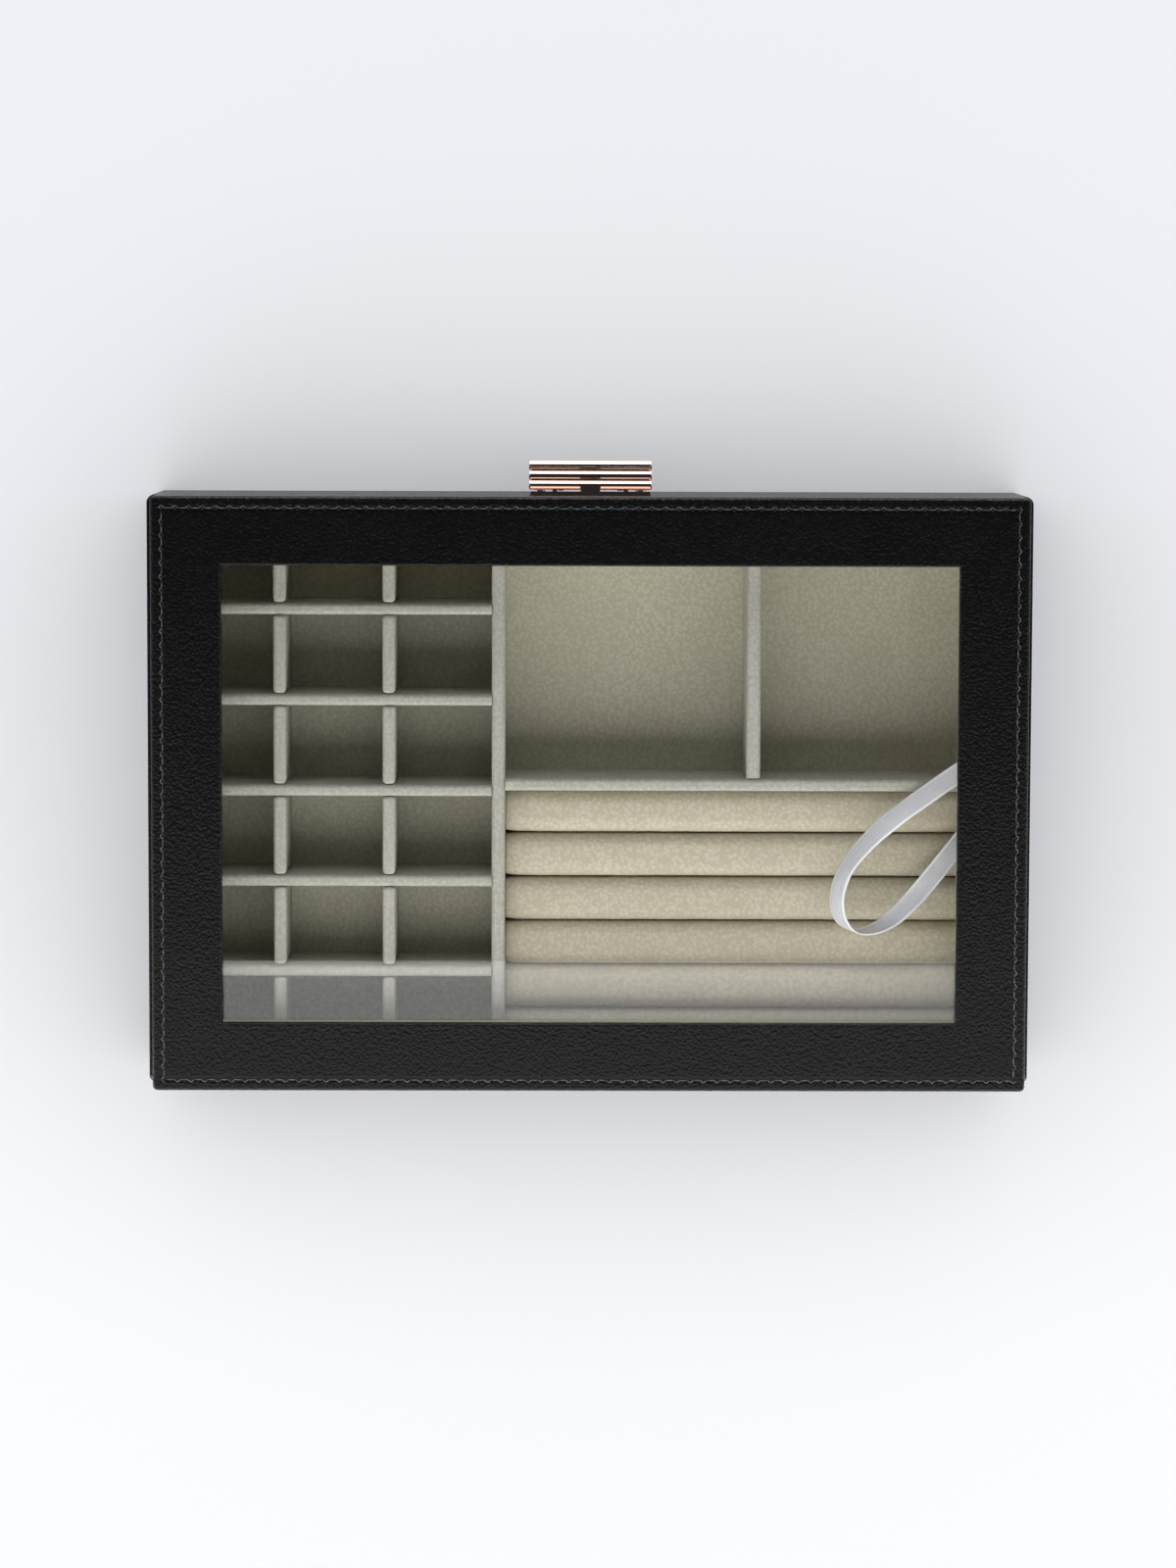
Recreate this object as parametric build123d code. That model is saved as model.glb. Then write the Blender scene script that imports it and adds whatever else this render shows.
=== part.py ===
from build123d import *
import math
import os

# Jewelry gift box: a leather-covered tray with a lined grid, ring rolls and a hinged glass lid.
# Millimetres. X runs along the width, the front wall with the clasp faces -Y, the hinges are at +Y,
# and +Z is up. The origin is the centre of the underside.

# ---- the case ----
tray_width = 264.0
case_depth = 177.0  # the tray and the lid are flush at the front and at the back
lid_width = 260.0
tray_top = 38.85
split_gap = 0.3  # shadow gap between the rim and the lid
lid_thickness = 12.85
tray_corner_radius = 2.5
lid_corner_radius = 1.5
rim_edge_radius = 0.6
lid_edge_radius = 1.2

# ---- sheet and board thicknesses ----
base_cover_thickness = 0.8
leather = 0.8
board = 6.5
base_board_thickness = 3.0
lining = 1.2
lining_below_rim = 1.45

# ---- the lined interior ----
divider_top = 36.0
main_divider_x = 27.3
main_divider_thickness = 4.0
row_count = 6
row_divider_thickness = 3.4
column_count = 3
column_divider_thickness = 3.8
lap_clearance = 0.2  # each side of a divider in its slot
divider_edge_radius = 1.3
column_top_radius = 1.04
cross_divider_y = -1.85
cross_divider_thickness = 3.7
large_divider_thickness = 4.2
ring_roll_count = 6
ring_roll_gap = 0.2
ring_base_thickness = 4.0
ring_roll_top = 30.6
ring_roll_roundness = 0.92  # the rolls' upper edges, as a share of half their width

# ---- the window ----
window_width = 218.2
window_depth = 136.2
window_edge_radius = 0.7
glass_thickness = 2.0
glass_recess = 3.0
glass_overlap = 3.0
glass_play = 0.2
lid_lining_setback = 0.8  # the lining stops this far outside the window in the leather
lid_lining_inset = 3.0  # the leather turns under the lid this far
lid_lining_flange = 1.2

# ---- the hinges ----
hinge_inset = 2.3  # from the back of the case to the pin
hinge_spacing = 160.0
hinge_length = 30.0
knuckle_radius = 1.9
knuckle_gap = 0.15
hinge_pin_radius = 0.8
running_clearance = 0.05
leaf_thickness = 0.8
leaf_reach = 5.6  # from the pin to the leaf's front edge
pocket_clearance = 0.25
screws_per_leaf = 3
screw_radius = 0.8
screw_head_radius = 1.3
screw_head_height = 0.72
tray_screw_length = 8.0
lid_screw_length = 7.0
relief_angle = 50.0  # each back edge slopes away from the split, so that the lid can open
relief_lead = 0.4  # the slopes meet this far in front of the pin
overlap = 0.1  # solids that are joined reach into each other this far

# ---- the clasp ----
clasp_width = 36.6
rib_count = 3
rib_radius = 1.6
rib_pitch = 2.9
rib_end_radius = 0.5
rib_top = 36.6
rib_to_plate_gap = 0.35
rib_web = 1.9
rib_web_inset = 0.8  # the web stops short of the ribs' ends
clasp_plate_height = 10.6
clasp_plate_top = 38.6
clasp_plate_thickness = 1.2
clasp_plate_corner = 0.8
clasp_pivot_z = 31.0
clasp_pin_radius = 0.75
clasp_pin_length = 23.0
clasp_pin_proud = 0.2  # the pin stands out of each ear
clasp_ear_radius = 1.6
clasp_ear_thickness = 1.4
clasp_ear_to_plate = 0.15
clasp_lug_thickness = 1.6
clasp_side_gap = 0.25
clasp_rivet_spacing = 30.0
clasp_rivet_z = 30.4
clasp_rivet_radius = 0.9
clasp_rivet_head = 1.7
clasp_rivet_head_height = 0.5
clasp_rivet_length = 5.0
nose_width = 5.6
nose_thickness = 1.5
nose_engagement = 0.7
spring_coils = 5
spring_wire = 0.5
spring_bore = 1.0
spring_squeeze = 0.9  # the coils touch, and the legs are drawn a little thin
spring_plate_leg = 2.4
spring_tab_leg_lean = 0.4
spring_clearance = 0.05
striker_thickness = 1.2
striker_width = 10.0
striker_y = -85.0
striker_window_clearance = 0.5
striker_reach = 5.4  # below the underside of the lid
striker_sill_clearance = 0.3
striker_window_head = 0.2
mortise_clearance = 0.6
striker_screw_spacing = 16.0
striker_foot_width = 22.0
striker_foot_depth = 5.0

# ---- the ribbon stay ----
ribbon_width = 6.0
ribbon_thickness = 0.4
ribbon_z = 37.6
ribbon_tab_size = 8.0
ribbon_tab_thickness = 1.2
ribbon_patch_thickness = 0.6
ribbon_patch_lap = 2.0  # the patch reaches past the ribbon's end
ribbon_clearance = 0.3
# The ribbon's middle line from the tray to the lid, seen from above. Chosen by hand.
ribbon_route = [
    (-120.2, 5.6),
    (-116.0, 10.0),
    (-110.2, 16.8),
    (-103.4, 25.2),
    (-97.0, 32.6),
    (-91.2, 38.0),
    (-85.2, 41.4),
    (-79.2, 42.0),
    (-74.9, 38.4),
    (-73.6, 32.4),
    (-74.9, 26.0),
    (-78.6, 19.6),
    (-84.8, 12.8),
    (-91.6, 7.2),
    (-100.6, 0.8),
    (-109.9, -5.6),
    (-118.6, -11.4),
]

# ---- worked out from the sizes above ----
split_z = tray_top + split_gap / 2
lid_bottom = tray_top + split_gap
lid_top = lid_bottom + lid_thickness
back_y = case_depth / 2
front_y = -back_y
board_out_x = tray_width / 2 - leather
board_out_y = back_y - leather
board_in_x = board_out_x - board
board_in_y = board_out_y - board
inner_x = board_in_x - lining
inner_y = board_in_y - lining
board_top = tray_top - leather
floor_board_top = base_cover_thickness + base_board_thickness
floor_z = floor_board_top + lining
lining_top = tray_top - lining_below_rim
row_pitch = (2 * inner_y + row_divider_thickness) / row_count
grid_left = main_divider_x + main_divider_thickness / 2
column_pitch = (inner_x - grid_left + column_divider_thickness) / column_count
lap_z = (floor_z + divider_top) / 2
right_edge = main_divider_x - main_divider_thickness / 2
cross_back_y = cross_divider_y + cross_divider_thickness / 2
cross_front_y = cross_divider_y - cross_divider_thickness / 2
large_divider_x = (right_edge - inner_x) / 2
ring_pitch = (inner_y - cross_back_y) / ring_roll_count
ring_roll_width = ring_pitch - ring_roll_gap
hinge_y = back_y - hinge_inset
glass_top = lid_top - glass_recess
glass_bottom = glass_top - glass_thickness
lid_rail_bottom = lid_bottom + lid_lining_flange
clasp_plate_front = front_y - clasp_plate_thickness
rib_z = rib_top - rib_radius
clasp_pivot_y = clasp_plate_front - clasp_ear_radius - clasp_ear_to_plate
inner_rib_y = clasp_plate_front - rib_to_plate_gap - rib_radius
nose_tip_y = striker_y - striker_thickness / 2 + nose_engagement
nose_z = rib_z + rib_radius - nose_thickness / 2


def block(x, y, z):
    """A box from the lowest and highest value on each axis."""
    size = [b - a for a, b in (x, y, z)]
    middle = [(a + b) / 2 for a, b in (x, y, z)]
    return Pos(*middle) * Box(*size)


def rod(radius, start, end):
    """A cylinder between two points."""
    axis = Vector(*end) - Vector(*start)
    plane = Plane(origin=start, z_dir=axis)
    return extrude(plane * Circle(radius), axis.length)


def prism(outline, x0, x1):
    """An outline in Y and Z, carried along X."""
    face = make_face(Polyline(*[(x0, y, z) for y, z in outline], close=True))
    return extrude(face, x1 - x0, dir=(1, 0, 0))


def back_relief(up, skin):
    """What the sloping back edge takes from the tray (up=-1) or the lid (up=1), grown by a skin."""
    lean = math.tan(math.radians(relief_angle))
    tip_y = hinge_y - relief_lead - skin / math.sin(math.radians(relief_angle))
    far_y = back_y + 5
    start = split_z - up * 0.5
    outline = [
        (tip_y - 0.5 / lean, start - up * 0.5),
        (far_y, start - up * 0.5),
        (far_y, split_z + up * (far_y - tip_y) * lean),
        (tip_y, split_z),
    ]
    return prism(outline, -tray_width, tray_width)


def hinge_places():
    return [(-hinge_spacing / 2, "right"), (hinge_spacing / 2, "left")]


def leaf_screw_places(x):
    step = hinge_length / screws_per_leaf
    return [x + (i - (screws_per_leaf - 1) / 2) * step for i in range(screws_per_leaf)]


def screw(x, y, head_z, length, up, clearance=0.0):
    """A countersunk screw along Z from head_z; up is the way it points. Clearance grows it to a hole."""
    shank = screw_radius + clearance
    head = screw_head_radius + clearance
    body = rod(shank, (x, y, head_z), (x, y, head_z + up * (length + clearance)))
    low, high = (head, shank) if up > 0 else (shank, head)
    cone = Pos(x, y, head_z + up * screw_head_height / 2) * Cone(low, high, screw_head_height)
    return body + cone


def leaf_screw_y():
    """The middle of the leaf's flat part."""
    return hinge_y - (leaf_reach + knuckle_radius + pocket_clearance) / 2


def hinge_screws(up, clearance=0.0):
    """Every screw of the leaves on the tray (up=-1) or on the lid (up=1), as separate solids."""
    head_z = tray_top if up < 0 else lid_bottom
    length = tray_screw_length if up < 0 else lid_screw_length
    return [
        screw(x, leaf_screw_y(), head_z, length, up, clearance)
        for place, _ in hinge_places()
        for x in leaf_screw_places(place)
    ]


def hinge_pockets(up):
    """Room for the knuckles and the leaves, on the tray or the lid side of the split."""
    cut = []
    half = hinge_length / 2 + pocket_clearance
    deep = hinge_y - leaf_reach - pocket_clearance
    if up < 0:
        high = (tray_top - leaf_thickness, tray_top + 1)
    else:
        high = (lid_bottom - 1, lid_bottom + leaf_thickness)
    for x, _ in hinge_places():
        ends = (x - half, hinge_y, split_z), (x + half, hinge_y, split_z)
        cut.append(rod(knuckle_radius + pocket_clearance, *ends))
        cut.append(block((x - half, x + half), (deep, hinge_y), high))
    return cut


def leaf(x, up):
    """One hinge leaf with its knuckles: the tray has the outer two and the lid the middle one."""
    third = hinge_length / 3
    low, high = x - hinge_length / 2, x + hinge_length / 2
    if up < 0:
        spans = [(low, low + third - knuckle_gap / 2), (high - third + knuckle_gap / 2, high)]
        z = (tray_top - leaf_thickness, tray_top)
    else:
        spans = [(low + third + knuckle_gap / 2, high - third - knuckle_gap / 2)]
        z = (lid_bottom, lid_bottom + leaf_thickness)
    back = hinge_y - knuckle_radius - pocket_clearance
    body = block((low, high), (hinge_y - leaf_reach, back), z)
    for a, b in spans:
        body += block((a, b), (back - overlap, hinge_y), z)
        body += rod(knuckle_radius, (a, hinge_y, split_z), (b, hinge_y, split_z))
    bore = hinge_pin_radius + running_clearance
    body -= rod(bore, (low - 1, hinge_y, split_z), (high + 1, hinge_y, split_z))
    for place in leaf_screw_places(x):
        head_z = tray_top if up < 0 else lid_bottom
        body -= screw(place, leaf_screw_y(), head_z, tray_screw_length, up, running_clearance)
    return body


def rounded_plate(width, depth, bottom, top, corner, edge):
    """A plate with round upright corners and a round upper edge."""
    plate = block((-width / 2, width / 2), (-depth / 2, depth / 2), (bottom, top))
    plate = fillet(plate.edges().filter_by(Axis.Z), corner)
    return fillet(plate.faces().sort_by(Axis.Z)[-1].edges(), edge)


# ---- the tray ----


def striker_mortise():
    """The space in the front wall that the striker drops into."""
    half = striker_width / 2 + mortise_clearance
    deep = striker_y + striker_thickness / 2 + mortise_clearance
    bottom = lid_bottom - striker_reach - mortise_clearance
    return block((-half, half), (front_y - 1, deep), (bottom, tray_top + 1))


def tray_core():
    """Everything inside the tray's leather."""
    core = block(
        (-board_out_x, board_out_x), (-board_out_y, board_out_y), (base_cover_thickness, board_top)
    )
    return core - back_relief(-1, leather)


def tray_cavity():
    return block((-board_in_x, board_in_x), (-board_in_y, board_in_y), (0, tray_top + 1))


def clasp_rivets(clearance=0.0):
    return [
        rod(
            clasp_rivet_radius + clearance,
            (x, clasp_plate_front, clasp_rivet_z),
            (x, clasp_plate_front + clasp_rivet_length + clearance, clasp_rivet_z),
        )
        for x in (-clasp_rivet_spacing / 2, clasp_rivet_spacing / 2)
    ]


def tray_cuts():
    holes = hinge_screws(-1, running_clearance) + clasp_rivets(running_clearance)
    return [striker_mortise(), *hinge_pockets(-1), *holes]


def make_tray(parts):
    outside = rounded_plate(
        tray_width, case_depth, base_cover_thickness, tray_top, tray_corner_radius, rim_edge_radius
    )
    wrap = outside - back_relief(-1, 0) - tray_core() - tray_cavity()
    across = (-board_out_x, board_out_x)
    along = (-board_in_y, board_in_y)
    high = (base_cover_thickness, board_top)
    walls = {
        "front_wall": block(across, (-board_out_y, -board_in_y), high),
        "rear_wall": block(across, (board_in_y, board_out_y), high),
        "left_wall": block((board_in_x, board_out_x), along, high),
        "right_wall": block((-board_out_x, -board_in_x), along, high),
    }
    walls["rear_wall"] &= tray_core()
    for cut in tray_cuts():
        wrap -= cut
        walls["front_wall"] -= cut
        walls["rear_wall"] -= cut
    parts["tray_leather_wrap"] = wrap
    for name, wall in walls.items():
        parts["tray_" + name] = wall
    parts["tray_base_cover"] = fillet(
        block(
            (-tray_width / 2, tray_width / 2), (-back_y, back_y), (0, base_cover_thickness)
        ).edges().filter_by(Axis.Z),
        tray_corner_radius,
    )
    parts["tray_base_board"] = block(
        (-board_in_x, board_in_x), (-board_in_y, board_in_y), (base_cover_thickness, floor_board_top)
    )


def make_linings(parts):
    parts["floor_lining"] = block((-inner_x, inner_x), (-inner_y, inner_y), (floor_board_top, floor_z))
    high = (floor_board_top, lining_top)
    parts["front_lining"] = block((-inner_x, inner_x), (-board_in_y, -inner_y), high)
    parts["rear_lining"] = block((-inner_x, inner_x), (inner_y, board_in_y), high)
    parts["left_lining"] = block((inner_x, board_in_x), (-board_in_y, board_in_y), high)
    parts["right_lining"] = block((-board_in_x, -inner_x), (-board_in_y, board_in_y), high)


def padded_bar(x, y, z, along_y):
    """A lined bar with soft upper edges and, at its ends, soft upright edges."""
    bar = block(x, y, z)
    edges = bar.edges().group_by(Axis.Z)[-1].filter_by(Axis.Y if along_y else Axis.X)
    return fillet(edges, divider_edge_radius)


def row_divider_places():
    return [-inner_y - row_divider_thickness / 2 + k * row_pitch for k in range(1, row_count)]


def column_divider_places():
    return [grid_left - column_divider_thickness / 2 + k * column_pitch for k in range(1, column_count)]


def make_row_divider(y):
    """Runs the width of the grid, and is slotted from below over the column dividers."""
    half = row_divider_thickness / 2
    bar = padded_bar((grid_left, inner_x), (y - half, y + half), (floor_z, divider_top), False)
    slot = column_divider_thickness / 2 + lap_clearance
    for x in column_divider_places():
        bar -= block((x - slot, x + slot), (y - half - 1, y + half + 1), (floor_z - 1, lap_z))
    return bar


def make_column_divider(x):
    """Runs the depth of the grid under the row dividers, and stands up between them in short lengths."""
    half = column_divider_thickness / 2
    slot = row_divider_thickness / 2 + lap_clearance
    bar = block((x - half, x + half), (-inner_y, inner_y), (floor_z, lap_z))
    stops = [-inner_y - slot, *row_divider_places(), inner_y + slot]
    for near, far in zip(stops, stops[1:]):
        length = block((x - half, x + half), (near + slot, far - slot), (lap_z, divider_top))
        length = fillet(length.edges().filter_by(Axis.Z), divider_edge_radius)
        bar += fillet(length.faces().sort_by(Axis.Z)[-1].edges(), column_top_radius)
    return bar


def make_dividers(parts):
    tall = (floor_z, divider_top)
    half = main_divider_thickness / 2
    parts["main_divider"] = padded_bar(
        (main_divider_x - half, main_divider_x + half), (-inner_y, inner_y), tall, True
    )
    for i, y in enumerate(row_divider_places(), 1):
        parts[f"row_divider_{i}"] = make_row_divider(y)
    for i, x in enumerate(column_divider_places(), 1):
        parts[f"column_divider_{i}"] = make_column_divider(x)
    parts["cross_divider"] = padded_bar(
        (-inner_x, right_edge), (cross_front_y, cross_back_y), tall, False
    )
    half = large_divider_thickness / 2
    parts["large_divider"] = padded_bar(
        (large_divider_x - half, large_divider_x + half),
        (-inner_y, cross_front_y - lap_clearance),
        tall,
        True,
    )


def make_ring_rolls(parts):
    """Foam rolls side by side on a raised base; rings are pushed in between them."""
    base_top = floor_z + ring_base_thickness
    parts["ring_base"] = block((-inner_x, right_edge), (cross_back_y, inner_y), (floor_z, base_top))
    radius = ring_roll_width / 2
    for i in range(ring_roll_count):
        y = cross_back_y + (i + 0.5) * ring_pitch
        roll = block((-inner_x, right_edge), (y - radius, y + radius), (base_top, ring_roll_top))
        top = roll.edges().group_by(Axis.Z)[-1].filter_by(Axis.X)
        parts[f"ring_roll_{i + 1}"] = fillet(top, radius * ring_roll_roundness)


# ---- the lid ----


def window_cut(grow, bottom, top):
    half_x = window_width / 2 + grow
    half_y = window_depth / 2 + grow
    return block((-half_x, half_x), (-half_y, half_y), (bottom, top))


def lid_ring(outer_x, outer_y, inner_window, bottom, top):
    """Four straight strips around the window: front and rear run right across, the sides fit between."""
    hole_x = window_width / 2 + inner_window
    hole_y = window_depth / 2 + inner_window
    high = (bottom, top)
    return {
        "front": block((-outer_x, outer_x), (-outer_y, -hole_y), high),
        "rear": block((-outer_x, outer_x), (hole_y, outer_y), high),
        "left": block((hole_x, outer_x), (-hole_y, hole_y), high),
        "right": block((-outer_x, -hole_x), (-hole_y, hole_y), high),
    }


def striker_screw(x, clearance=0.0):
    return screw(x, striker_y, lid_bottom, lid_screw_length, 1, clearance)


def striker_screw_places():
    return [-striker_screw_spacing / 2, striker_screw_spacing / 2]


def striker_foot(clearance=0.0):
    half = striker_foot_width / 2 + clearance
    deep = striker_foot_depth / 2 + clearance
    high = (lid_bottom - clearance, lid_bottom + leaf_thickness)
    return block((-half, half), (striker_y - deep, striker_y + deep), high)


def lid_cuts():
    cuts = [*hinge_pockets(1), *hinge_screws(1, running_clearance), striker_foot(pocket_clearance)]
    return cuts + [striker_screw(x, running_clearance) for x in striker_screw_places()]


def make_lid(parts):
    outside = rounded_plate(
        lid_width, case_depth, lid_bottom, lid_top, lid_corner_radius, lid_edge_radius
    )
    outside -= window_cut(0, lid_bottom - 1, lid_top + 1)
    rims = outside.faces().sort_by(Axis.Z)[-1].inner_wires()[0].edges()
    outside = fillet(rims, window_edge_radius)
    rail_x = lid_width / 2 - leather
    rail_y = back_y - leather
    core_relief = back_relief(1, leather)
    rails = lid_ring(rail_x, rail_y, leather, lid_rail_bottom, lid_top - leather)
    rebate = window_cut(glass_overlap + glass_play, lid_bottom - 1, glass_top)
    flange_x = lid_width / 2 - lid_lining_inset
    flange_y = back_y - lid_lining_inset
    flange = lid_ring(flange_x, flange_y, lid_lining_setback, lid_bottom, lid_rail_bottom)
    upstand_top = glass_bottom
    edge = glass_overlap
    upstand = lid_ring(
        window_width / 2 + edge, window_depth / 2 + edge, lid_lining_setback, lid_bottom, upstand_top
    )
    flange_hole = block((-flange_x, flange_x), (-flange_y, flange_y), (lid_bottom - 1, lid_rail_bottom))
    solid = block((-rail_x, rail_x), (-rail_y, rail_y), (lid_rail_bottom, lid_top - leather))
    solid -= window_cut(leather, lid_bottom - 1, lid_top)
    wrap = outside - back_relief(1, 0) - (solid - core_relief) - flange_hole - rebate
    for cut in lid_cuts():
        wrap -= cut
    parts["lid_leather_wrap"] = wrap
    for name in rails:
        rail = rails[name] - rebate
        strip = flange[name] + upstand[name]
        if name in ("front", "rear"):
            for cut in lid_cuts():
                rail -= cut
                strip -= cut
        if name == "rear":
            rail -= core_relief
            strip -= back_relief(1, leather)
        parts[f"lid_{name}_rail"] = rail
        parts[f"lid_{name}_lining"] = strip
    parts["glass_pane"] = window_cut(glass_overlap, glass_bottom, glass_top)


# ---- the hinges, the clasp and the ribbon ----


def make_hinges(parts):
    for x, side in hinge_places():
        parts[f"tray_hinge_leaf_{side}"] = leaf(x, -1)
        parts[f"lid_hinge_leaf_{side}"] = leaf(x, 1)
        half = hinge_length / 2
        parts[f"hinge_pin_{side}"] = rod(
            hinge_pin_radius, (x - half, hinge_y, split_z), (x + half, hinge_y, split_z)
        )
    parts["tray_hinge_screws"] = Compound(children=hinge_screws(-1))
    parts["lid_hinge_screws"] = Compound(children=hinge_screws(1))


def ear_places():
    """The spans in X of the plate's two ears, outside the lever's lugs."""
    outer = clasp_pin_length / 2 - clasp_pin_proud
    return [(-outer, -outer + clasp_ear_thickness), (outer - clasp_ear_thickness, outer)]


def make_clasp_plate():
    half = clasp_width / 2
    bottom = clasp_plate_top - clasp_plate_height
    plate = block((-half, half), (clasp_plate_front, front_y), (bottom, clasp_plate_top))
    plate = fillet(plate.edges().filter_by(Axis.Y), clasp_plate_corner)
    gap = nose_width / 2 + clasp_side_gap
    notch_bottom = nose_z - nose_thickness / 2 - clasp_side_gap
    plate -= block((-gap, gap), (clasp_plate_front - 1, front_y + 1), (notch_bottom, tray_top))
    for a, b in ear_places():
        plate += rod(clasp_ear_radius, (a, clasp_pivot_y, clasp_pivot_z), (b, clasp_pivot_y, clasp_pivot_z))
        plate += block(
            (a, b),
            (clasp_pivot_y, clasp_plate_front),
            (clasp_pivot_z - clasp_ear_radius, clasp_pivot_z + clasp_ear_radius),
        )
    reach = clasp_pin_length / 2 + 1
    plate -= rod(
        clasp_pin_radius + running_clearance,
        (-reach, clasp_pivot_y, clasp_pivot_z),
        (reach, clasp_pivot_y, clasp_pivot_z),
    )
    for hole in clasp_rivets(running_clearance):
        plate -= hole
    return plate


def make_clasp_lever():
    """The ribbed tab. Pressed down, it turns on its pin and draws the nose out of the striker."""
    half = clasp_width / 2
    lever = None
    for i in range(rib_count):
        y = inner_rib_y - i * rib_pitch
        rib = rod(rib_radius, (-half, y, rib_z), (half, y, rib_z))
        rib = fillet(rib.edges().filter_by(GeomType.CIRCLE), rib_end_radius)
        lever = rib if lever is None else lever + rib
    outer_y = inner_rib_y - (rib_count - 1) * rib_pitch
    web_edge = half - rib_web_inset
    lever += block(
        (-web_edge, web_edge), (outer_y, inner_rib_y), (rib_z - rib_web / 2, rib_z + rib_web / 2)
    )
    ear_inner = ear_places()[1][0]
    for side in (-1, 1):
        a = side * (ear_inner - clasp_side_gap)
        b = a - side * clasp_lug_thickness
        low, high = min(a, b), max(a, b)
        deep = (clasp_pivot_y - clasp_ear_radius, clasp_pivot_y + clasp_ear_radius)
        ends = (low, clasp_pivot_y, clasp_pivot_z), (high, clasp_pivot_y, clasp_pivot_z)
        lever += rod(clasp_ear_radius, *ends)
        lever += block((low, high), deep, (clasp_pivot_z, rib_z))
    nose = prism(
        [
            (inner_rib_y, nose_z - nose_thickness / 2),
            (nose_tip_y, nose_z - nose_thickness / 2),
            (nose_tip_y, nose_z - nose_thickness / 4),
            (nose_tip_y - nose_thickness * 0.6, nose_z + nose_thickness / 2),
            (inner_rib_y, nose_z + nose_thickness / 2),
        ],
        -nose_width / 2,
        nose_width / 2,
    )
    lever += nose
    reach = clasp_pin_length / 2
    return lever - rod(
        clasp_pin_radius + running_clearance,
        (-reach, clasp_pivot_y, clasp_pivot_z),
        (reach, clasp_pivot_y, clasp_pivot_z),
    )


def make_clasp_spring():
    """A close-wound torsion spring on the pin, with one leg against the plate and one under the tab."""
    ring = spring_bore + spring_wire / 2
    step = spring_wire * spring_squeeze
    spring = None
    for i in range(spring_coils):
        x = (i - (spring_coils - 1) / 2) * step
        coil = Pos(x, clasp_pivot_y, clasp_pivot_z) * Rot(0, 90, 0) * Torus(ring, spring_wire / 2)
        spring = coil if spring is None else spring + coil
    last = (spring_coils - 1) / 2 * step
    wire = spring_wire / 2 * spring_squeeze
    plate_leg_y = clasp_plate_front - wire - spring_clearance
    tab_leg_top = rib_z - rib_web / 2 - wire - 2 * spring_clearance
    spring += rod(
        wire,
        (-last, clasp_pivot_y + ring, clasp_pivot_z),
        (-last, plate_leg_y, clasp_pivot_z - spring_plate_leg),
    )
    spring += rod(
        wire,
        (last, clasp_pivot_y - ring, clasp_pivot_z),
        (last, clasp_pivot_y - ring - spring_tab_leg_lean, tab_leg_top),
    )
    return spring


def make_striker():
    """A staple on the underside of the lid, with a window that the nose of the lever enters."""
    half = striker_width / 2
    thick = striker_thickness / 2
    bottom = lid_bottom - striker_reach
    deep = (striker_y - thick, striker_y + thick)
    blade = block((-half, half), deep, (bottom, lid_bottom + leaf_thickness))
    side = nose_width / 2 + striker_window_clearance
    sill = nose_z - nose_thickness / 2 - striker_sill_clearance
    through = (striker_y - striker_thickness, striker_y + striker_thickness)
    blade -= block((-side, side), through, (sill, lid_bottom - striker_window_head))
    striker = blade + striker_foot()
    for x in striker_screw_places():
        striker -= striker_screw(x, running_clearance)
    return striker


def make_clasp(parts):
    parts["clasp_plate"] = make_clasp_plate()
    parts["clasp_lever"] = make_clasp_lever()
    half = clasp_pin_length / 2
    parts["clasp_pin"] = rod(
        clasp_pin_radius,
        (-half, clasp_pivot_y, clasp_pivot_z),
        (half, clasp_pivot_y, clasp_pivot_z),
    )
    parts["clasp_spring"] = make_clasp_spring()
    heads = [
        rivet
        + rod(
            clasp_rivet_head,
            (x, clasp_plate_front - clasp_rivet_head_height, clasp_rivet_z),
            (x, clasp_plate_front, clasp_rivet_z),
        )
        for rivet, x in zip(clasp_rivets(), (-clasp_rivet_spacing / 2, clasp_rivet_spacing / 2))
    ]
    parts["clasp_rivets"] = Compound(children=heads)
    parts["striker"] = make_striker()
    parts["striker_screws"] = Compound(children=[striker_screw(x) for x in striker_screw_places()])


def make_ribbon(parts):
    """The stay is drawn flat, as a loop of satin ribbon from a tab on the tray to a patch on the lid."""
    points = [Vector(x, y) for x, y in ribbon_route]
    runs = [(b - a).length for a, b in zip(points, points[1:])]
    radii = []
    for i in range(1, len(points) - 1):
        turn = (points[i] - points[i - 1]).get_angle(points[i + 1] - points[i])
        radii.append(0.45 * min(runs[i - 1], runs[i]) / math.tan(math.radians(turn) / 2))
    path = FilletPolyline(*ribbon_route, radius=radii)
    print("ribbon length", round(path.length, 1), "tightest bend", round(min(radii), 1))
    low = ribbon_z - ribbon_thickness / 2
    parts["ribbon_stay"] = Pos(0, 0, low) * extrude(trace(path, ribbon_width), ribbon_thickness)
    y = ribbon_route[0][1]
    parts["ribbon_tray_tab"] = block(
        (-inner_x, -inner_x + ribbon_tab_thickness),
        (y - ribbon_tab_size / 2, y + ribbon_tab_size / 2),
        (ring_roll_top + ribbon_clearance, ribbon_z + ribbon_thickness / 2 + ribbon_clearance),
    )
    x, y = ribbon_route[-1]
    parts["ribbon_lid_patch"] = block(
        (x - ribbon_patch_lap, x - ribbon_patch_lap + ribbon_tab_size),
        (y - ribbon_tab_size / 2, y + ribbon_tab_size / 2),
        (lid_bottom - ribbon_patch_thickness, lid_bottom),
    )


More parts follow.
